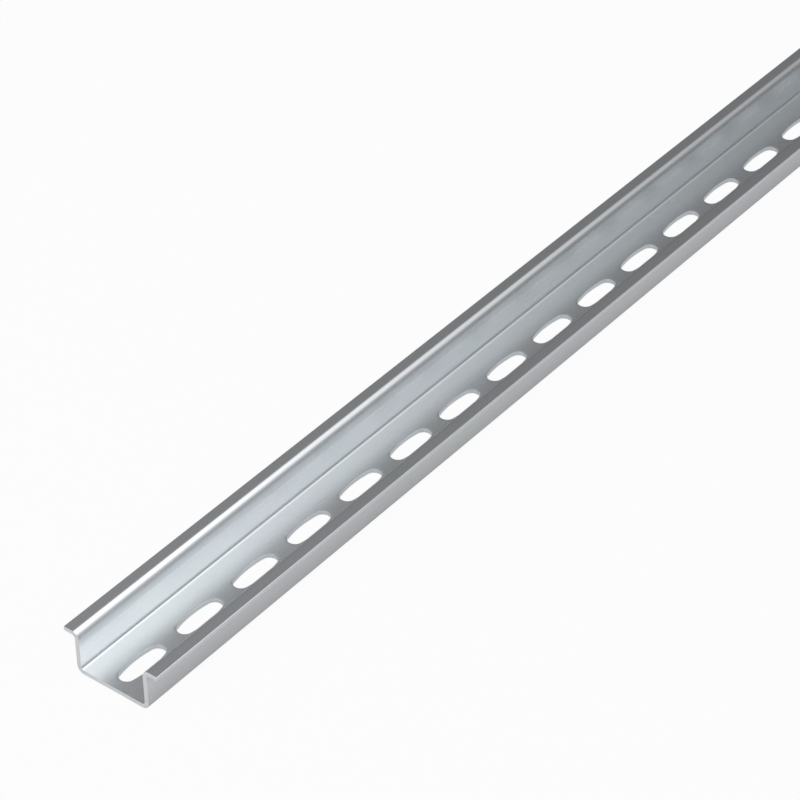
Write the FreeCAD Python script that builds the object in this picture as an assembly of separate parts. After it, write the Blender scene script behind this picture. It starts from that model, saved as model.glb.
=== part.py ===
"""Perforated top-hat mounting rail, 35 mm wide and 15 mm deep, roll-formed in one piece from 1.5 mm steel strip.

Millimetres. X runs along the rail, Y across it and Z up, out of the open side of the section.
The origin is on the underside of the web, at the middle of the rail's length and width.
"""

import FreeCAD
import Part
import math
import os

# Section
LIP_TO_LIP_WIDTH = 35.0
CROWN_WIDTH = 27.0
RAIL_DEPTH = 15.0
STRIP_THICKNESS = 1.5
WEB_BEND_INSIDE_RADIUS = 1.0
LIP_BEND_INSIDE_RADIUS = 1.0
SLIT_EDGE_RADIUS = 0.2

# Length and perforation
RAIL_LENGTH = 1000.0
SLOT_LENGTH = 18.0
SLOT_MIDDLE_WIDTH = 6.5
SLOT_END_RADIUS = 2.6
SLOT_PITCH = 25.0
END_TO_FIRST_SLOT_CENTRE = 12.5

# The punch passes this far beyond both faces of the web
PUNCH_OVERTRAVEL = 1.0


def bend(corner, towards, away, radius):
    """The arc that rounds one corner of a path, and its two tangent points."""
    into = (corner - towards).normalize()
    out = (away - corner).normalize()
    turn = into.getAngle(out)
    setback = radius * math.tan(turn / 2)
    start = corner - into * setback
    end = corner + out * setback
    inward = (out - into).normalize()
    centre = corner + inward * (radius / math.cos(turn / 2))
    middle = centre - inward * radius
    return Part.Arc(start, middle, end).toShape(), start, end


def underside_path():
    """The strip's underside across the section, from one lip edge to the other, with its four bends."""
    lip_edge = LIP_TO_LIP_WIDTH / 2
    wall = CROWN_WIDTH / 2
    lip_underside = RAIL_DEPTH - STRIP_THICKNESS
    web_bend = WEB_BEND_INSIDE_RADIUS + STRIP_THICKNESS
    stations = [
        (-lip_edge, lip_underside, None),
        (-wall, lip_underside, LIP_BEND_INSIDE_RADIUS),
        (-wall, 0.0, web_bend),
        (wall, 0.0, web_bend),
        (wall, lip_underside, LIP_BEND_INSIDE_RADIUS),
        (lip_edge, lip_underside, None),
    ]
    points = [FreeCAD.Vector(0, y, z) for y, z, _ in stations]
    edges = []
    start = points[0]
    for index in range(1, len(points) - 1):
        arc, arc_start, arc_end = bend(points[index], points[index - 1], points[index + 1], stations[index][2])
        edges.append(Part.LineSegment(start, arc_start).toShape())
        edges.append(arc)
        start = arc_end
    edges.append(Part.LineSegment(start, points[-1]).toShape())
    return Part.Wire(edges)


def section_face():
    """The section of the bent strip: the area between its underside and the parallel face above it."""
    return underside_path().makeOffset2D(-STRIP_THICKNESS, join=0, fill=True, openResult=True)


def formed_strip():
    """The roll-formed strip before it is punched, centred on the middle of its length."""
    section = section_face()
    section.translate(FreeCAD.Vector(-RAIL_LENGTH / 2, 0, 0))
    return section.extrude(FreeCAD.Vector(RAIL_LENGTH, 0, 0))


def slot_outline(height):
    """A closed outline about X 0: two long sides that bow outwards and two round ends, each running into the next."""
    half_width = SLOT_MIDDLE_WIDTH / 2
    end_centre = SLOT_LENGTH / 2 - SLOT_END_RADIUS
    bow = half_width - SLOT_END_RADIUS
    side_radius = (end_centre**2 + half_width**2 - SLOT_END_RADIUS**2) / (2 * bow)
    side_centre = side_radius - half_width
    reach = SLOT_END_RADIUS / (side_radius - SLOT_END_RADIUS)
    join_x = end_centre * (1 + reach)
    join_y = side_centre * reach
    far_left, far_right, near_right, near_left = [
        FreeCAD.Vector(sx * join_x, sy * join_y, height) for sx, sy in ((-1, 1), (1, 1), (1, -1), (-1, -1))
    ]
    far_middle, near_middle = [FreeCAD.Vector(0, sy * half_width, height) for sy in (1, -1)]
    right_tip, left_tip = [FreeCAD.Vector(sx * SLOT_LENGTH / 2, 0, height) for sx in (1, -1)]
    return Part.Wire(
        [
            Part.Arc(far_left, far_middle, far_right).toShape(),
            Part.Arc(far_right, right_tip, near_right).toShape(),
            Part.Arc(near_right, near_middle, near_left).toShape(),
            Part.Arc(near_left, left_tip, far_left).toShape(),
        ]
    )


def punch():
    """The punch that makes one slot."""
    outline = slot_outline(-PUNCH_OVERTRAVEL)
    return Part.Face(outline).extrude(FreeCAD.Vector(0, 0, STRIP_THICKNESS + 2 * PUNCH_OVERTRAVEL))


def slot_centres():
    """X of each slot's centre, from one end of the rail to the other."""
    usable = RAIL_LENGTH - 2 * END_TO_FIRST_SLOT_CENTRE
    count = int(math.floor(usable / SLOT_PITCH + 1e-6)) + 1
    first = -(count - 1) * SLOT_PITCH / 2
    return [first + index * SLOT_PITCH for index in range(count)]


def slit_edges(shape):
    """The long edges of the two lips, where the strip was slit to width."""
    found = []
    for edge in shape.Edges:
        middle = edge.BoundBox.Center
        runs_along = edge.BoundBox.XLength > RAIL_LENGTH / 2
        at_lip = abs(abs(middle.y) - LIP_TO_LIP_WIDTH / 2) < SLIT_EDGE_RADIUS / 2
        if runs_along and at_lip:
            found.append(edge)
    return found


def rail():
    """The finished rail: formed, slit edges eased and slots punched."""
    strip = formed_strip()
    strip = strip.makeFillet(SLIT_EDGE_RADIUS, slit_edges(strip))
    tool = punch()
    punches = []
    for x in slot_centres():
        one = tool.copy()
        one.translate(FreeCAD.Vector(x, 0, 0))
        punches.append(one)
    return strip.cut(punches)


def main():
    os.makedirs("parts", exist_ok=True)
    shape = rail()
    solid = shape.Solids[0]
    print("solids", len(shape.Solids), "valid", solid.isValid(), "volume", round(solid.Volume, 1))
    print("box", solid.BoundBox)
    print("slots", len(slot_centres()), "faces", len(solid.Faces))
    solid.exportStep("parts/din_rail.step")


main()
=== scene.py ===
"""A perforated top-hat mounting rail in zinc-plated steel, lying on its web with the open side up.

Metres. X runs along the rail, Y across it and Z up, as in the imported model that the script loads.
"""

import math

import bmesh
import bpy
from mathutils import Matrix, Vector


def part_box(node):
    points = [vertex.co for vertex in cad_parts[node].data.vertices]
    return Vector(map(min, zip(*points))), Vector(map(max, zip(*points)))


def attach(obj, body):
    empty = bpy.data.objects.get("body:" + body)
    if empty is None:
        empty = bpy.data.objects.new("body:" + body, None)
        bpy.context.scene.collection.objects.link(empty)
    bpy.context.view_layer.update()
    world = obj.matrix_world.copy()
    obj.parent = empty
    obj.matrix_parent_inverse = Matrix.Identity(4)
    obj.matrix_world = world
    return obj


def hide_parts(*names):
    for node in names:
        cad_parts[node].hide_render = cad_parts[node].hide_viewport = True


bl_info = {
    "name": "Top-Hat Mounting Rail",
    "version": (1, 0, 0),
    "blender": (4, 5, 0),
    "location": "3D Viewport > Sidebar > Rail",
    "description": "A punched, zinc-plated mounting rail and the studio it is photographed in",
    "category": "Add Mesh",
}

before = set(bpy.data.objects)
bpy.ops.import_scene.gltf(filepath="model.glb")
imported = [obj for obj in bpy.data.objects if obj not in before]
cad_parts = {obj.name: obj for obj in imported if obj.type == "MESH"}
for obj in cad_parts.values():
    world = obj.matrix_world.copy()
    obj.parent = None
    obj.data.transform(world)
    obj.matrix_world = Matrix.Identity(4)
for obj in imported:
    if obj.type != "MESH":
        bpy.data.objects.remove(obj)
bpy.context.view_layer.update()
RAIL_LOW, RAIL_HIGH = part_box("din_rail")
MM = 0.001

# Two places closer than this count as the same
NEARLY = MM / 100
# Points closer than this are joined into one
JOIN_DISTANCE = MM / 1000
# Two faces that turn by more than this, in radians, meet in a corner
CORNER_TURN = 1.0
# The normal of an upright face rises by less than this
UPRIGHT_RISE = 0.3
# Shading breaks where two faces turn by more than this
SHARP_TURN = math.radians(38)
# Facets round an edge that is rounded, and round one that is only broken
ROUND_SEGMENTS = 4
BROKEN_SEGMENTS = 2
# Places of the two materials in the rail's list
ROLLED = 0
SHEARED = 1
# The floor's own colour, and how far it lies under the rail so that their faces stay apart
FLOOR_COLOUR = (0.70, 0.70, 0.70, 1.0)
FLOOR_GAP = 0.1 * MM
# Width of the camera's sensor, in millimetres
SENSOR_WIDTH = 36.0
# Nearest and furthest distance that the camera sees
NEAREST = 0.01
FURTHEST = 50.0


# Settings
class RailSizes(bpy.types.PropertyGroup):
    """Sizes of the rail's section and of its row of slots"""

    length: bpy.props.FloatProperty(
        name="Length",
        description="Length the rail is cut to",
        default=RAIL_HIGH.x - RAIL_LOW.x,
        unit="LENGTH",
    )
    width: bpy.props.FloatProperty(
        name="Width",
        description="Width over the two lips",
        default=RAIL_HIGH.y - RAIL_LOW.y,
        unit="LENGTH",
    )
    depth: bpy.props.FloatProperty(
        name="Depth",
        description="Height from the underside of the web to the top of the lips",
        default=RAIL_HIGH.z - RAIL_LOW.z,
        unit="LENGTH",
    )
    crown: bpy.props.FloatProperty(
        name="Crown",
        description="Width over the two walls",
        default=27 * MM,
        unit="LENGTH",
    )
    thickness: bpy.props.FloatProperty(
        name="Thickness",
        description="Thickness of the strip",
        default=1.5 * MM,
        unit="LENGTH",
    )
    bend_radius: bpy.props.FloatProperty(
        name="Bend Radius",
        description="Inside radius of the four bends",
        default=1.0 * MM,
        unit="LENGTH",
    )
    bend_segments: bpy.props.IntProperty(
        name="Bend Segments",
        description="Facets round each bend",
        default=12,
        min=4,
    )
    slot_pitch: bpy.props.FloatProperty(
        name="Slot Pitch",
        description="Distance from one slot's centre to the next",
        default=25 * MM,
        unit="LENGTH",
    )
    slot_length: bpy.props.FloatProperty(
        name="Slot Length",
        description="Length of a slot over its round ends",
        default=18 * MM,
        unit="LENGTH",
    )
    slot_width: bpy.props.FloatProperty(
        name="Slot Width",
        description="Width of a slot in its middle, where its sides bow out the most",
        default=6.5 * MM,
        unit="LENGTH",
    )
    slot_end_radius: bpy.props.FloatProperty(
        name="Slot End Radius",
        description="Radius of a slot's two round ends",
        default=2.6 * MM,
        unit="LENGTH",
    )
    slot_segments: bpy.props.IntProperty(
        name="Slot Segments",
        description="Facets round each end of a slot",
        default=20,
        min=6,
    )
    side_segments: bpy.props.IntProperty(
        name="Side Segments",
        description="Facets along each bowed side of a slot",
        default=12,
        min=4,
    )
    slot_margin: bpy.props.FloatProperty(
        name="Slot Margin",
        description="Width of the even band of faces round each slot",
        default=0.9 * MM,
        unit="LENGTH",
    )
    rollover: bpy.props.FloatProperty(
        name="Rollover",
        description="Rounding of a slot's rim on the side that the punch enters",
        default=0.08 * MM,
        unit="LENGTH",
    )
    slit_edge: bpy.props.FloatProperty(
        name="Slit Edge",
        description="Rounding of the two long edges of the lips",
        default=0.2 * MM,
        unit="LENGTH",
    )
    sharp_edge: bpy.props.FloatProperty(
        name="Sharp Edge",
        description="Rounding of the cut ends and of the side that the punch leaves",
        default=0.06 * MM,
        unit="LENGTH",
    )


class ZincFinish(bpy.types.PropertyGroup):
    """Colours, gloss and grain of the zinc coat"""

    green_zinc: bpy.props.FloatVectorProperty(
        name="Green Zinc",
        description="Colour of the coat where its clear passivation is thin",
        subtype="COLOR",
        size=3,
        min=0.0,
        max=1.0,
        default=(0.792, 0.836, 0.845),
    )
    blue_zinc: bpy.props.FloatVectorProperty(
        name="Blue Zinc",
        description="Colour of the coat where its clear passivation is thick",
        subtype="COLOR",
        size=3,
        min=0.0,
        max=1.0,
        default=(0.800, 0.826, 0.864),
    )
    plain_zinc: bpy.props.FloatVectorProperty(
        name="Plain Zinc",
        description="Colour of the coat on the outer faces and the lips, which the bath drains off",
        subtype="COLOR",
        size=3,
        min=0.0,
        max=1.0,
        default=(0.812, 0.822, 0.850),
    )
    # Painted highlight: a lighter, bluer zinc colour that brightens the trough's two inner walls.
    rolled_zinc: bpy.props.FloatVectorProperty(
        name="Rolled Zinc",
        description="Colour of the coat on the trough's two walls, which the forming rolls have smoothed",
        subtype="COLOR",
        size=3,
        min=0.0,
        max=1.0,
        default=(0.925, 0.970, 0.995),
    )
    # Painted shade: a darker zinc colour that darkens the web, and the outer faces low down.
    painted_shade_zinc: bpy.props.FloatVectorProperty(
        name="Settled Zinc",
        description="Colour of the coat where residue has settled, on the web and low on the outer faces",
        subtype="COLOR",
        size=3,
        min=0.0,
        max=1.0,
        default=(0.66, 0.67, 0.685),
    )
    rubbed_zinc: bpy.props.FloatVectorProperty(
        name="Rubbed Zinc",
        description="Colour of the coat where the forming rolls and handling have rubbed it",
        subtype="COLOR",
        size=3,
        min=0.0,
        max=1.0,
        default=(0.89, 0.90, 0.91),
    )
    punched_zinc: bpy.props.FloatVectorProperty(
        name="Punched Zinc",
        description="Colour of the coat on the walls of the slots",
        subtype="COLOR",
        size=3,
        min=0.0,
        max=1.0,
        default=(0.78, 0.82, 0.85),
    )
    fractured_zinc: bpy.props.FloatVectorProperty(
        name="Fractured Zinc",
        description="Colour of the coat over the torn lower part of a sheared edge",
        subtype="COLOR",
        size=3,
        min=0.0,
        max=1.0,
        default=(0.88, 0.89, 0.90),
    )
    grazed_zinc: bpy.props.FloatVectorProperty(
        name="Grazed Zinc",
        description="Share of its light that the coat still mirrors when seen at a grazing angle",
        subtype="COLOR",
        size=3,
        min=0.0,
        max=1.0,
        default=(0.75, 0.75, 0.75),
    )
    roughness: bpy.props.FloatProperty(
        name="Roughness",
        description="Roughness of the coat on the strip's two faces",
        default=0.28,
        subtype="FACTOR",
        min=0.0,
        max=1.0,
    )
    lip_roughness: bpy.props.FloatProperty(
        name="Lip Roughness",
        description="Roughness of the coat on the lips, which the forming rolls have burnished",
        default=0.19,
        subtype="FACTOR",
        min=0.0,
        max=1.0,
    )
    stretched_roughness: bpy.props.FloatProperty(
        name="Stretched Roughness",
        description="Roughness of the coat at the foot of the lip bends, where the strip is stretched",
        default=0.38,
        subtype="FACTOR",
        min=0.0,
        max=1.0,
    )
    cut_roughness: bpy.props.FloatProperty(
        name="Cut Roughness",
        description="Roughness of the coat on sheared edges",
        default=0.58,
        subtype="FACTOR",
        min=0.0,
        max=1.0,
    )
    brushing: bpy.props.FloatProperty(
        name="Brushing",
        description="How much wider the rolling grain spreads a highlight across the rail than along it",
        default=0.8,
        subtype="FACTOR",
        min=0.0,
        max=1.0,
    )
    tint_length: bpy.props.FloatProperty(
        name="Tint Length",
        description="Length of one change of tint along the rail",
        default=45 * MM,
        unit="LENGTH",
    )
    streak_length: bpy.props.FloatProperty(
        name="Streak Length",
        description="Length of the streaks that the rolls leave along the strip",
        default=60 * MM,
        unit="LENGTH",
    )
    streak_width: bpy.props.FloatProperty(
        name="Streak Width",
        description="Width of the streaks that the rolls leave along the strip",
        default=0.7 * MM,
        unit="LENGTH",
    )
    crystal_size: bpy.props.FloatProperty(
        name="Crystal Size",
        description="Size of the fine grain in the zinc",
        default=0.25 * MM,
        unit="LENGTH",
    )


class StudioSettings(bpy.types.PropertyGroup):
    """Camera, lamps and floor"""

    camera_place: bpy.props.FloatVectorProperty(
        name="Camera Place",
        description="Where the camera stands",
        subtype="TRANSLATION",
        size=3,
        default=(-0.953230, -0.459960, 0.602120),
    )
    camera_heading: bpy.props.FloatProperty(
        name="Camera Heading",
        description="Direction the camera looks in, from the rail's own direction towards its far side",
        subtype="ANGLE",
        default=math.radians(38.1539),
    )
    camera_dip: bpy.props.FloatProperty(
        name="Camera Dip",
        description="How far below the level the camera looks",
        subtype="ANGLE",
        default=math.radians(37.9226),
    )
    camera_roll: bpy.props.FloatProperty(
        name="Camera Roll",
        description="How far the camera is turned about its line of sight",
        subtype="ANGLE",
        default=math.radians(-0.5490),
    )
    camera_lens: bpy.props.FloatProperty(
        name="Lens",
        description="Focal length on a 36 mm sensor",
        subtype="DISTANCE_CAMERA",
        default=139.603,
    )
    floor_size: bpy.props.FloatProperty(
        name="Floor Size",
        description="Length of each side of the floor",
        default=12.0,
        unit="LENGTH",
    )
    floor_whiteness: bpy.props.FloatProperty(
        name="Floor Whiteness",
        description="Share of plain white over the floor's lit colour, as the camera sees it",
        subtype="FACTOR",
        default=0.955,
        min=0.0,
        max=1.0,
    )
    mirrored_whiteness: bpy.props.FloatProperty(
        name="Mirrored Whiteness",
        description="Share of plain white over the floor's lit colour, as metal mirrors it",
        subtype="FACTOR",
        default=0.29,
        min=0.0,
        max=1.0,
    )
    ceiling_light: bpy.props.FloatProperty(
        name="Ceiling Light",
        description="Brightness of the broad ceiling light that runs along the rail",
        subtype="FACTOR",
        default=2.02,
        min=0.0,
        max=4.0,
    )
    ceiling_light_end: bpy.props.FloatProperty(
        name="Ceiling Light End",
        description="Brightness to which the ceiling light falls towards the rail's far end",
        subtype="FACTOR",
        default=0.38,
        min=0.0,
        max=4.0,
    )
    front_light: bpy.props.FloatProperty(
        name="Front Light",
        description="Brightness low down on the camera's side, as a share of the ceiling light",
        subtype="FACTOR",
        default=0.28,
        min=0.0,
        max=1.0,
    )
    back_light: bpy.props.FloatProperty(
        name="Back Light",
        description="Brightness of the plain backdrop behind the rail",
        subtype="FACTOR",
        default=0.28,
        min=0.0,
        max=1.0,
    )
    back_light_end: bpy.props.FloatProperty(
        name="Back Light End",
        description="Share of the back light that is left towards the rail's far end",
        subtype="FACTOR",
        default=0.71,
        min=0.0,
        max=1.0,
    )
    white_ground: bpy.props.FloatProperty(
        name="White Ground",
        description="Brightness past the floor's edge, as the camera sees it",
        subtype="FACTOR",
        default=0.975,
        min=0.0,
        max=1.0,
    )


# Modelling
def verts_in(geometry):
    """The points among the geometry that an operator returned."""
    return [item for item in geometry if isinstance(item, bmesh.types.BMVert)]


def runs_along(edge, distance):
    """Whether the edge runs along the rail for more than the given distance."""
    return abs(edge.verts[0].co.x - edge.verts[1].co.x) > distance


def corners_where(sheet, test):
    """The edges at which two faces meet in a corner and whose two ends pass the test."""
    return [
        edge
        for edge in sheet.edges
        if all(test(vert.co) for vert in edge.verts)
        and len(edge.link_faces) == 2
        and edge.calc_face_angle() > CORNER_TURN
    ]


def web_face(sheet):
    """The largest face at the bottom of the section."""
    return max(sheet.faces, key=lambda face: face.calc_area() * (face.calc_center_median().z < NEARLY))


def add_square_strip(sheet, sizes):
    """One slot pitch of the strip's underside, with its corners still square."""
    half_pitch = sizes.slot_pitch / 2
    lip_edge = sizes.width / 2
    wall = sizes.crown / 2
    lip_underside = sizes.depth - sizes.thickness
    corners = [
        (-lip_edge, lip_underside),
        (-wall, lip_underside),
        (-wall, 0.0),
        (wall, 0.0),
        (wall, lip_underside),
        (lip_edge, lip_underside),
    ]
    verts = [sheet.verts.new((-half_pitch, y, z)) for y, z in corners]
    edges = [sheet.edges.new(pair) for pair in zip(verts, verts[1:])]
    swept = bmesh.ops.extrude_edge_only(sheet, edges=edges)["geom"]
    bmesh.ops.translate(sheet, verts=verts_in(swept), vec=(sizes.slot_pitch, 0, 0))


def bend_folds(sheet, sizes, height, radius):
    """Bends the two folds of the strip that lie at the given height."""
    wall = sizes.crown / 2

    def at_fold(place):
        return abs(abs(place.y) - wall) < NEARLY and abs(place.z - height) < NEARLY

    folds = [
        edge
        for edge in sheet.edges
        if runs_along(edge, sizes.slot_pitch / 2) and at_fold(edge.verts[0].co)
    ]
    bmesh.ops.bevel(
        sheet,
        geom=folds,
        offset=radius,
        offset_type="OFFSET",
        segments=sizes.bend_segments,
        profile=0.5,
        affect="EDGES",
        material=-1,
    )


def one_pitch_of_strip(sizes):
    """One slot pitch of the bent strip's underside, as an open sheet with a slot in its web."""
    sheet = bmesh.new()
    add_square_strip(sheet, sizes)
    bend_folds(sheet, sizes, sizes.depth - sizes.thickness, sizes.bend_radius)
    bend_folds(sheet, sizes, 0.0, sizes.bend_radius + sizes.thickness)
    web = web_face(sheet)
    rim = list(web.edges)
    bmesh.ops.delete(sheet, geom=[web], context="FACES_ONLY")
    band = slot_band(sheet, sizes)
    bmesh.ops.triangle_fill(sheet, edges=rim + band, use_beauty=True, normal=(0, 0, 1))
    return sheet


def slot_ring(sheet, sizes, margin):
    """A closed ring of edges outside a slot's outline, of four arcs that run into each other."""
    half_width = sizes.slot_width / 2
    end_radius = sizes.slot_end_radius
    end_centre = sizes.slot_length / 2 - end_radius
    bow = half_width - end_radius
    side_radius = (end_centre**2 + half_width**2 - end_radius**2) / (2 * bow)
    side_centre = side_radius - half_width
    join = math.atan2(side_centre, end_centre)
    reach = end_radius + margin
    start = (end_centre + reach * math.cos(join), -reach * math.sin(join), 0)
    end_arc = 2 * join
    side_arc = math.pi - end_arc
    arcs = (
        ((end_centre, 0, 0), end_arc, sizes.slot_segments),
        ((0, -side_centre, 0), side_arc, sizes.side_segments),
        ((-end_centre, 0, 0), end_arc, sizes.slot_segments),
        ((0, side_centre, 0), side_arc, sizes.side_segments),
    )
    tip = sheet.verts.new(start)
    before = set(sheet.verts) - {tip}
    for centre, sweep, steps in arcs:
        turned = bmesh.ops.spin(sheet, geom=[tip], cent=centre, axis=(0, 0, 1), angle=sweep, steps=steps)
        tip = turned["geom_last"][0]
    ring = [vert for vert in sheet.verts if vert not in before]
    bmesh.ops.remove_doubles(sheet, verts=ring, dist=JOIN_DISTANCE)
    return [edge for edge in sheet.edges if all(vert not in before for vert in edge.verts)]


def slot_band(sheet, sizes):
    """A band of even faces round a slot. Returns the band's outer edges."""
    inner = slot_ring(sheet, sizes, 0.0)
    outer = slot_ring(sheet, sizes, sizes.slot_margin)
    bmesh.ops.bridge_loops(sheet, edges=inner + outer)
    return outer


def repeat_along_rail(sheet, sizes):
    """Repeats the one pitch along the whole rail and closes the joins."""
    count = round(sizes.length / sizes.slot_pitch)
    first = -(count - 1) * sizes.slot_pitch / 2
    pattern = list(sheet.verts) + list(sheet.edges) + list(sheet.faces)
    for index in range(1, count):
        copy = bmesh.ops.duplicate(sheet, geom=pattern)["geom"]
        bmesh.ops.translate(sheet, verts=verts_in(copy), vec=(index * sizes.slot_pitch, 0, 0))
    bmesh.ops.translate(sheet, verts=sheet.verts, vec=(first, 0, 0))
    bmesh.ops.remove_doubles(sheet, verts=sheet.verts, dist=JOIN_DISTANCE)


def thicken(sheet, sizes):
    """Gives the sheet its thickness, upwards from the underside."""
    for face in sheet.faces:
        face.normal_update()
    bmesh.ops.recalc_face_normals(sheet, faces=sheet.faces)
    if web_face(sheet).normal.z > 0:
        bmesh.ops.reverse_faces(sheet, faces=sheet.faces)
    bmesh.ops.solidify(sheet, geom=list(sheet.faces), thickness=sizes.thickness)
    bmesh.ops.recalc_face_normals(sheet, faces=sheet.faces)


def soften(sheet, edges, radius, segments):
    """Rounds the given edges."""
    bmesh.ops.bevel(
        sheet,
        geom=edges,
        offset=radius,
        offset_type="OFFSET",
        segments=segments,
        profile=0.5,
        affect="EDGES",
        clamp_overlap=True,
        material=-1,
    )


def soften_edges(sheet, sizes):
    """Rounds the slit edges and the slots' upper rims, and breaks the lower rims and the cut ends."""
    end = sizes.length / 2 - NEARLY
    lip = sizes.width / 2 - NEARLY
    near_slot = sizes.slot_width / 2 + sizes.slot_margin / 2

    def slot_rims(height):
        def at_rim(place):
            return abs(place.z - height) < NEARLY and abs(place.y) < near_slot

        return corners_where(sheet, at_rim)

    at_lips = corners_where(sheet, lambda place: abs(place.y) > lip)
    soften(sheet, [edge for edge in at_lips if runs_along(edge, MM)], sizes.slit_edge, ROUND_SEGMENTS)
    soften(sheet, slot_rims(sizes.thickness), sizes.rollover, ROUND_SEGMENTS)
    soften(sheet, slot_rims(0.0), sizes.sharp_edge, BROKEN_SEGMENTS)
    at_ends = corners_where(sheet, lambda place: abs(place.x) > end)
    soften(sheet, at_ends, sizes.sharp_edge, BROKEN_SEGMENTS)


def mark_cut_faces(sheet, sizes):
    """Gives the sheared faces, in the slots and at the ends, the second material."""
    end = sizes.length / 2 - NEARLY
    slot_side = sizes.slot_width / 2 + NEARLY
    for face in sheet.faces:
        middle = face.calc_center_median()
        at_end = abs(middle.x) > end
        in_slot = abs(middle.y) < slot_side and abs(face.normal.z) < UPRIGHT_RISE
        face.material_index = SHEARED if at_end or in_slot else ROLLED


class RAIL_OT_build_rail(bpy.types.Operator):
    """Build the bent and punched rail"""

    bl_idname = "rail.build_rail"
    bl_label = "Build Rail"
    bl_options = {"REGISTER", "UNDO"}

    def execute(self, context):
        sizes = context.scene.rail_sizes
        finish = context.scene.zinc_finish
        sheet = one_pitch_of_strip(sizes)
        repeat_along_rail(sheet, sizes)
        thicken(sheet, sizes)
        soften_edges(sheet, sizes)
        mark_cut_faces(sheet, sizes)
        mesh = bpy.data.meshes.new("zinc_plated_rail")
        sheet.to_mesh(mesh)
        sheet.free()
        mesh.shade_smooth()
        mesh.set_sharp_from_angle(angle=SHARP_TURN)
        piece = bpy.data.objects.new("zinc_plated_rail", mesh)
        context.scene.collection.objects.link(piece)
        flats = piece.modifiers.new("Flat Faces", "WEIGHTED_NORMAL")
        flats.mode = "FACE_AREA"
        flats.weight = 100
        flats.keep_sharp = True
        group = rolled_zinc_group(finish)
        mesh.materials.append(zinc_on_strip(finish, group, sizes))
        mesh.materials.append(zinc_on_sheared_edges(finish, group, sizes))
        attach(piece, "root")
        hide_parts("din_rail")
        return {"FINISHED"}


# Materials
def add_math(tree, operation, first, second=0.0):
    """A Math node whose two inputs are sockets or numbers. Returns its output."""
    node = tree.nodes.new("ShaderNodeMath")
    node.operation = operation
    for socket, value in zip(node.inputs, (first, second)):
        if isinstance(value, bpy.types.NodeSocket):
            tree.links.new(value, socket)
        else:
            socket.default_value = value
    return node.outputs["Value"]


def add_weighted_sum(tree, *parts):
    """The sum of several masks, each times its own share."""
    total = None
    for mask, share in parts:
        weighted = add_math(tree, "MULTIPLY", mask, share)
        total = weighted if total is None else add_math(tree, "ADD", total, weighted)
    return total


def add_ramp(tree, value, low, high, low_out=0.0, high_out=1.0):
    """Turns a value's range into another, smoothly and with nothing past its ends."""
    node = tree.nodes.new("ShaderNodeMapRange")
    node.interpolation_type = "SMOOTHSTEP"
    node.inputs["From Min"].default_value = low
    node.inputs["From Max"].default_value = high
    node.inputs["To Min"].default_value = low_out
    node.inputs["To Max"].default_value = high_out
    tree.links.new(value, node.inputs["Value"])
    return node.outputs["Result"]


def add_blend(tree, share, first, second):
    """Mixes two colours, each a socket or a constant. Returns the mixed colour."""
    node = tree.nodes.new("ShaderNodeMix")
    node.data_type = "RGBA"
    tree.links.new(share, node.inputs["Factor"])
    for socket, value in ((node.inputs["A"], first), (node.inputs["B"], second)):
        if isinstance(value, bpy.types.NodeSocket):
            tree.links.new(value, socket)
        else:
            socket.default_value = (*value, 1.0)
    return node.outputs["Result"]


def add_axes(tree, place):
    """Splits a place or a direction. Returns its X, Y and Z."""
    node = tree.nodes.new("ShaderNodeSeparateXYZ")
    tree.links.new(place, node.inputs["Vector"])
    return node.outputs["X"], node.outputs["Y"], node.outputs["Z"]


def add_stretched_noise(tree, place, size, detail, roughness):
    """Noise whose lumps measure the given size along X, Y and Z."""
    scale = tree.nodes.new("ShaderNodeMapping")
    scale.inputs["Scale"].default_value = [1 / length for length in size]
    tree.links.new(place, scale.inputs["Vector"])
    noise = tree.nodes.new("ShaderNodeTexNoise")
    noise.inputs["Scale"].default_value = 1.0
    noise.inputs["Detail"].default_value = detail
    noise.inputs["Roughness"].default_value = roughness
    tree.links.new(scale.outputs["Vector"], noise.inputs["Vector"])
    return noise.outputs["Fac"]


def rolled_zinc_group(finish):
    """Node group: the marks of rolling, plating and handling, each as a mask from 0 to 1."""
    group = bpy.data.node_groups.new("rolled_zinc", "ShaderNodeTree")
    group.interface.new_socket("Place", in_out="INPUT", socket_type="NodeSocketVector")
    place = group.nodes.new("NodeGroupInput").outputs["Place"]

    tint_width = 0.6 * finish.tint_length
    tint_size = (finish.tint_length, tint_width, tint_width)
    clouds = add_stretched_noise(group, place, tint_size, detail=2.0, roughness=0.45)
    tint = add_ramp(group, clouds, low=0.38, high=0.62)

    streak_size = (finish.streak_length, finish.streak_width, finish.streak_width)
    lines = add_stretched_noise(group, place, streak_size, detail=3.0, roughness=0.6)
    streaks = add_ramp(group, lines, low=0.30, high=0.70)

    specks = add_stretched_noise(group, place, (finish.crystal_size,) * 3, detail=2.0, roughness=0.5)
    crystals = add_ramp(group, specks, low=0.30, high=0.70)

    patch_length = 0.5 * finish.streak_length
    patch_width = 4 * finish.streak_width
    patch_size = (patch_length, patch_width, patch_width)
    patches = add_stretched_noise(group, place, patch_size, detail=4.0, roughness=0.6)
    rub = add_math(group, "MULTIPLY", add_ramp(group, patches, low=0.55, high=0.75), streaks)

    streak_share = 0.6
    height = add_weighted_sum(group, (streaks, streak_share), (crystals, 1 - streak_share))

    marks = {"Tint": tint, "Streaks": streaks, "Crystals": crystals, "Rub": rub, "Height": height}
    for name in marks:
        group.interface.new_socket(name, in_out="OUTPUT", socket_type="NodeSocketFloat")
    output = group.nodes.new("NodeGroupOutput")
    for name, mask in marks.items():
        group.links.new(mask, output.inputs[name])
    return group


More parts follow.
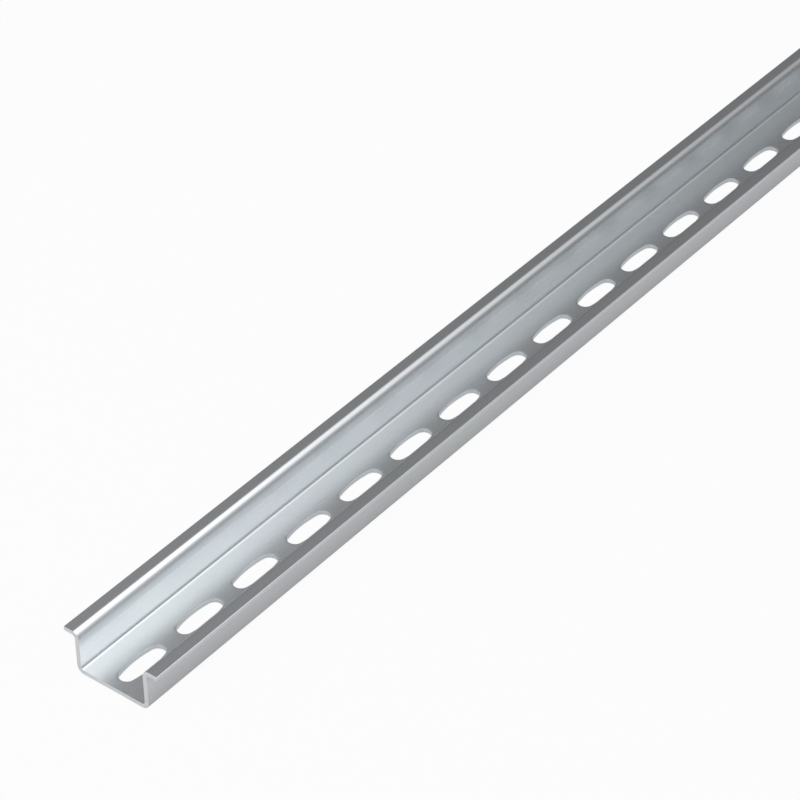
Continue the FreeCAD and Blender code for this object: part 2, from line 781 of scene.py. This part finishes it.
def start_zinc(name, group):
    """A metal with the rolled zinc group in it. Returns it, its tree, shader, place and marks."""
    material = bpy.data.materials.new(name)
    material.use_nodes = True
    tree = material.node_tree
    shader = tree.nodes["Principled BSDF"]
    shader.inputs["Metallic"].default_value = 1.0
    place = tree.nodes.new("ShaderNodeTexCoord").outputs["Object"]
    node = tree.nodes.new("ShaderNodeGroup")
    node.node_tree = group
    tree.links.new(place, node.inputs["Place"])
    return material, tree, shader, place, node.outputs


def add_relief(tree, shader, height, depth, strength):
    """Bumps of the given depth."""
    bump = tree.nodes.new("ShaderNodeBump")
    bump.inputs["Distance"].default_value = depth
    bump.inputs["Strength"].default_value = strength
    tree.links.new(height, bump.inputs["Height"])
    tree.links.new(bump.outputs["Normal"], shader.inputs["Normal"])


def add_rolling_direction(tree, shader, brushing):
    """Makes the rolling grain run along the rail, so that it spreads highlights across it."""
    along_rail = tree.nodes.new("ShaderNodeCombineXYZ")
    along_rail.label = "Rolling Direction"
    along_rail.inputs["X"].default_value = 1.0
    tree.links.new(along_rail.outputs["Vector"], shader.inputs["Tangent"])
    quarter_turn = 0.25
    shader.inputs["Anisotropic"].default_value = brushing
    shader.inputs["Anisotropic Rotation"].default_value = quarter_turn


def strip_colour(tree, place, marks, finish, sizes):
    """The coat's colour: tinted, with a painted highlight that lightens the trough's walls, plain
    outside, and painted shade that darkens the web and the outer faces low down.
    """
    _, across, height = add_axes(tree, place)
    from_middle = add_math(tree, "ABSOLUTE", across)
    trough = sizes.crown / 2 - sizes.thickness
    wall_blur = 0.3 * MM
    colour = add_blend(tree, marks["Tint"], finish.green_zinc, finish.blue_zinc)

    # Painted highlight: the trough's two inner walls take the lighter rolled zinc colour, which brightens
    # them.
    up_to_wall = add_ramp(tree, from_middle, trough - wall_blur, trough, high_out=0.8)
    past_wall = add_ramp(tree, from_middle, trough, trough + wall_blur, 1.0, 0.0)
    painted_highlight_on_wall = add_math(tree, "MULTIPLY", up_to_wall, past_wall)
    colour = add_blend(tree, painted_highlight_on_wall, colour, finish.rolled_zinc)

    drained_share = 0.4
    outside = add_ramp(tree, from_middle, trough, sizes.crown / 2)
    drained = add_math(tree, "MULTIPLY", outside, drained_share)
    colour = add_blend(tree, drained, colour, finish.plain_zinc)

    # Painted shade: darkens the web, and darkens the outer faces more the lower they are.
    web_shade_share = 0.45
    low_shade_share = 0.8
    web_top = sizes.thickness
    lip_foot = sizes.depth - 2 * sizes.thickness
    painted_shade_on_web = add_ramp(tree, height, web_top, web_top + sizes.bend_radius, web_shade_share, 0.0)
    low = add_ramp(tree, height, web_top, lip_foot, low_shade_share, 0.0)
    painted_shade = add_math(tree, "MAXIMUM", painted_shade_on_web, add_math(tree, "MULTIPLY", outside, low))
    colour = add_blend(tree, painted_shade, colour, finish.painted_shade_zinc)

    rubbed_share = 0.15
    rubbed = add_math(tree, "MULTIPLY", marks["Rub"], rubbed_share)
    return add_blend(tree, rubbed, colour, finish.rubbed_zinc)


def strip_roughness(tree, place, marks, finish, sizes):
    """The coat's roughness: duller up to the stretched lip bends, then burnished on the lips."""
    _, _, height = add_axes(tree, place)
    streak_depth = 0.018
    crystal_depth = 0.012
    cloud_depth = 0.02
    marks_depth = streak_depth + crystal_depth + cloud_depth
    uneven = add_weighted_sum(
        tree,
        (marks["Streaks"], streak_depth),
        (marks["Crystals"], crystal_depth),
        (marks["Tint"], cloud_depth),
    )
    lip_start = sizes.depth - sizes.thickness - sizes.bend_radius
    below_bend = lip_start - 2 * sizes.thickness
    smooth = finish.roughness - marks_depth
    stretched = add_ramp(tree, height, below_bend, lip_start, smooth, finish.stretched_roughness)
    burnish = finish.stretched_roughness - finish.lip_roughness + marks_depth
    burnished = add_ramp(tree, height, lip_start, sizes.depth, high_out=burnish)
    return add_math(tree, "ADD", uneven, add_math(tree, "SUBTRACT", stretched, burnished))


def zinc_on_strip(finish, group, sizes):
    """Zinc plate on the strip's two rolled faces: satin and cool, with a faint change of tint."""
    material, tree, shader, place, marks = start_zinc("zinc_on_strip", group)
    tree.links.new(strip_colour(tree, place, marks, finish, sizes), shader.inputs["Base Color"])
    tree.links.new(strip_roughness(tree, place, marks, finish, sizes), shader.inputs["Roughness"])
    shader.inputs["Specular Tint"].default_value = (*finish.grazed_zinc, 1.0)
    add_rolling_direction(tree, shader, finish.brushing)
    add_relief(tree, shader, marks["Height"], depth=0.001 * MM, strength=0.07)
    return material


def zinc_on_sheared_edges(finish, group, sizes):
    """Zinc plate on sheared edges: burnished where the blade came in, torn and duller below."""
    material, tree, shader, place, marks = start_zinc("zinc_on_sheared_edges", group)
    along, _, height = add_axes(tree, place)
    drag_size = (0.12 * MM, 0.12 * MM, 2.0 * MM)
    drag = add_stretched_noise(tree, place, drag_size, detail=2.0, roughness=0.6)
    waver = add_stretched_noise(tree, place, (0.8 * MM,) * 3, detail=2.0, roughness=0.5)

    waver_height = 0.3 * MM
    torn_top = 0.62 * sizes.thickness
    burnished_foot = 0.82 * sizes.thickness
    level = add_math(tree, "ADD", height, add_math(tree, "MULTIPLY", waver, waver_height))
    torn = add_ramp(tree, level, torn_top, burnished_foot, 1.0, 0.25)
    dragged = add_ramp(tree, drag, low=0.25, high=0.75, low_out=0.55)
    dull = add_math(tree, "MULTIPLY", torn, dragged)

    colour = add_blend(tree, marks["Tint"], finish.green_zinc, finish.blue_zinc)
    rubbed = add_ramp(tree, waver, low=0.0, high=1.0, low_out=0.8)
    colour = add_blend(tree, rubbed, colour, finish.rubbed_zinc)
    colour = add_blend(tree, dull, colour, finish.fractured_zinc)

    cut_end = sizes.length / 2
    punched_share = 0.9
    from_centre = add_math(tree, "ABSOLUTE", along)
    punched = add_ramp(tree, from_centre, cut_end - 2 * MM, cut_end - MM, punched_share, 0.0)
    colour = add_blend(tree, punched, colour, finish.punched_zinc)
    tree.links.new(colour, shader.inputs["Base Color"])

    torn_depth = 0.12
    drag_depth = 0.06
    uneven = add_weighted_sum(tree, (dull, torn_depth), (drag, drag_depth))
    gloss = add_math(tree, "ADD", uneven, finish.cut_roughness - torn_depth)
    tree.links.new(gloss, shader.inputs["Roughness"])

    drag_share = 0.7
    relief = add_weighted_sum(tree, (drag, drag_share), (marks["Crystals"], 1 - drag_share))
    add_relief(tree, shader, relief, depth=0.006 * MM, strength=0.6)
    return material


# Studio
def seen_white(tree, lit, seen, mirrored):
    """Mixes plain white into a lit surface as the camera sees it, and as gloss and glass show it."""
    path = tree.nodes.new("ShaderNodeLightPath")
    by_camera = add_math(tree, "MULTIPLY", path.outputs["Is Camera Ray"], seen)
    by_glass = add_math(tree, "MULTIPLY", path.outputs["Is Transmission Ray"], seen)
    by_gloss = add_math(tree, "MULTIPLY", path.outputs["Is Glossy Ray"], mirrored)
    share = add_math(tree, "MAXIMUM", add_math(tree, "MAXIMUM", by_camera, by_glass), by_gloss)
    white = tree.nodes.new("ShaderNodeEmission")
    white.inputs["Color"].default_value = (1.0, 1.0, 1.0, 1.0)
    white.inputs["Strength"].default_value = 1.0
    mix = tree.nodes.new("ShaderNodeMixShader")
    tree.links.new(share, mix.inputs["Fac"])
    tree.links.new(lit, mix.inputs[1])
    tree.links.new(white.outputs["Emission"], mix.inputs[2])
    return mix.outputs["Shader"]


def add_floor(scene, studio):
    """A plain white floor that keeps a soft shadow."""
    sheet = bmesh.new()
    bmesh.ops.create_grid(sheet, x_segments=1, y_segments=1, size=studio.floor_size / 2)
    bmesh.ops.translate(sheet, verts=sheet.verts, vec=(0, 0, -FLOOR_GAP))
    mesh = bpy.data.meshes.new("studio_floor")
    sheet.to_mesh(mesh)
    sheet.free()
    floor = bpy.data.objects.new("studio_floor", mesh)
    scene.collection.objects.link(floor)
    material = bpy.data.materials.new("white_floor")
    material.use_nodes = True
    tree = material.node_tree
    shader = tree.nodes["Principled BSDF"]
    shader.inputs["Base Color"].default_value = FLOOR_COLOUR
    shader.inputs["Roughness"].default_value = 1.0
    shader.inputs["Specular IOR Level"].default_value = 0.0
    surface = seen_white(tree, shader.outputs["BSDF"], studio.floor_whiteness, studio.mirrored_whiteness)
    tree.links.new(surface, tree.nodes["Material Output"].inputs["Surface"])
    mesh.materials.append(material)


def room_brightness(tree, direction, studio):
    """Brightness by direction: a broad ceiling light along the rail, and a plain, darker backdrop."""
    along, across, up = direction
    # Level on the far side is no turn, overhead is 90 degrees and level on the near side is 180
    turn = add_math(tree, "ARCTAN2", up, across)
    behind = add_ramp(tree, turn, low=math.radians(66), high=math.radians(92))
    in_front = add_ramp(
        tree,
        turn,
        low=math.radians(122),
        high=math.radians(168),
        low_out=1.0,
        high_out=studio.front_light,
    )
    to_far_end = add_ramp(
        tree,
        along,
        low=0.38,
        high=0.78,
        low_out=studio.ceiling_light,
        high_out=studio.ceiling_light_end,
    )
    from_near_end = add_ramp(tree, along, low=0.0, high=0.42, low_out=0.30)
    along_rail = add_math(tree, "MULTIPLY", to_far_end, from_near_end)
    over_rail = add_math(tree, "MULTIPLY", in_front, along_rail)
    ceiling = add_math(tree, "MULTIPLY", over_rail, behind)
    back_light_end = studio.back_light_end * studio.back_light
    backdrop = add_ramp(
        tree,
        along,
        low=0.44,
        high=0.74,
        low_out=studio.back_light,
        high_out=back_light_end,
    )
    return add_math(tree, "MAXIMUM", ceiling, backdrop)


def add_world(scene, studio):
    """A room lit by one broad ceiling light, with a white ground past the floor's edge."""
    world = bpy.data.worlds.new("studio")
    scene.world = world
    world.use_nodes = True
    tree = world.node_tree
    direction = add_axes(tree, tree.nodes.new("ShaderNodeTexCoord").outputs["Generated"])
    room = room_brightness(tree, direction, studio)
    path = tree.nodes.new("ShaderNodeLightPath")
    seen = add_math(tree, "MAXIMUM", path.outputs["Is Camera Ray"], path.outputs["Is Transmission Ray"])
    white = tree.nodes.new("ShaderNodeMix")
    white.data_type = "FLOAT"
    white.inputs["B"].default_value = studio.white_ground
    tree.links.new(seen, white.inputs["Factor"])
    tree.links.new(room, white.inputs["A"])
    back = tree.nodes["Background"]
    back.inputs["Color"].default_value = (1.0, 1.0, 1.0, 1.0)
    tree.links.new(white.outputs["Result"], back.inputs["Strength"])


def add_softbox(scene, name, aim, towards, distance, width, height, power):
    """A rectangular lamp, in the given direction from the point that it faces."""
    lamp = bpy.data.lights.new(name, "AREA")
    lamp.shape = "RECTANGLE"
    lamp.size = width
    lamp.size_y = height
    lamp.energy = power
    holder = bpy.data.objects.new(name, lamp)
    direction = Vector(towards).normalized()
    holder.location = Vector(aim) + direction * distance
    holder.rotation_euler = (-direction).to_track_quat("-Z", "Y").to_euler()
    holder.visible_camera = False
    scene.collection.objects.link(holder)


def add_camera(scene, studio):
    """The camera at the photograph's viewing angle."""
    data = bpy.data.cameras.new("camera")
    data.sensor_width = SENSOR_WIDTH
    data.lens = studio.camera_lens
    data.clip_start = NEAREST
    data.clip_end = FURTHEST
    camera = bpy.data.objects.new("camera", data)
    level = math.cos(studio.camera_dip)
    sight = Vector(
        (
            math.cos(studio.camera_heading) * level,
            math.sin(studio.camera_heading) * level,
            -math.sin(studio.camera_dip),
        )
    )
    camera.location = studio.camera_place
    turn = sight.to_track_quat("-Z", "Y").to_matrix() @ Matrix.Rotation(studio.camera_roll, 3, "Z")
    camera.rotation_euler = turn.to_euler()
    scene.collection.objects.link(camera)
    scene.camera = camera


class RAIL_OT_build_studio(bpy.types.Operator):
    """Set up the floor, the lamps and the camera"""

    bl_idname = "rail.build_studio"
    bl_label = "Build Studio"
    bl_options = {"REGISTER", "UNDO"}

    def execute(self, context):
        scene = context.scene
        studio = scene.studio_settings
        cut_end = -scene.rail_sizes.length / 2
        add_floor(scene, studio)
        add_world(scene, studio)
        add_softbox(
            scene,
            "overhead_softbox",
            aim=(-0.33, 0.0, 0.0),
            towards=(-0.45, 0.05, 0.90),
            distance=1.6,
            width=1.0,
            height=1.0,
            power=3.0,
        )
        add_softbox(
            scene,
            "end_softbox",
            aim=(cut_end, 0.0, 0.0),
            towards=(-0.80, 0.55, 0.30),
            distance=0.4,
            width=0.5,
            height=0.35,
            power=0.45,
        )
        add_camera(scene, studio)
        scene.view_settings.view_transform = "Standard"
        return {"FINISHED"}


class RAIL_PT_sidebar(bpy.types.Panel):
    """Rail tools in the 3D view's sidebar"""

    bl_idname = "RAIL_PT_sidebar"
    bl_label = "Mounting Rail"
    bl_space_type = "VIEW_3D"
    bl_region_type = "UI"
    bl_category = "Rail"

    def draw(self, context):
        scene = context.scene
        self.layout.operator("rail.build_rail")
        self.list_settings(scene.rail_sizes, RailSizes)
        self.list_settings(scene.zinc_finish, ZincFinish)
        self.layout.operator("rail.build_studio")
        self.list_settings(scene.studio_settings, StudioSettings)

    def list_settings(self, settings, group):
        """Shows the settings of a group in a box of their own."""
        box = self.layout.box()
        for name in group.__annotations__:
            box.prop(settings, name)


CLASSES = (
    RailSizes,
    ZincFinish,
    StudioSettings,
    RAIL_OT_build_rail,
    RAIL_OT_build_studio,
    RAIL_PT_sidebar,
)


def register():
    """Adds the settings, operators and panel to Blender."""
    for item in CLASSES:
        bpy.utils.register_class(item)
    bpy.types.Scene.rail_sizes = bpy.props.PointerProperty(type=RailSizes)
    bpy.types.Scene.zinc_finish = bpy.props.PointerProperty(type=ZincFinish)
    bpy.types.Scene.studio_settings = bpy.props.PointerProperty(type=StudioSettings)


def unregister():
    """Takes them out again."""
    del bpy.types.Scene.studio_settings
    del bpy.types.Scene.zinc_finish
    del bpy.types.Scene.rail_sizes
    for item in reversed(CLASSES):
        bpy.utils.unregister_class(item)


def main():
    """Builds every piece and the studio."""
    register()
    bpy.ops.rail.build_rail()
    bpy.ops.rail.build_studio()


if __name__ == "__main__":
    main()
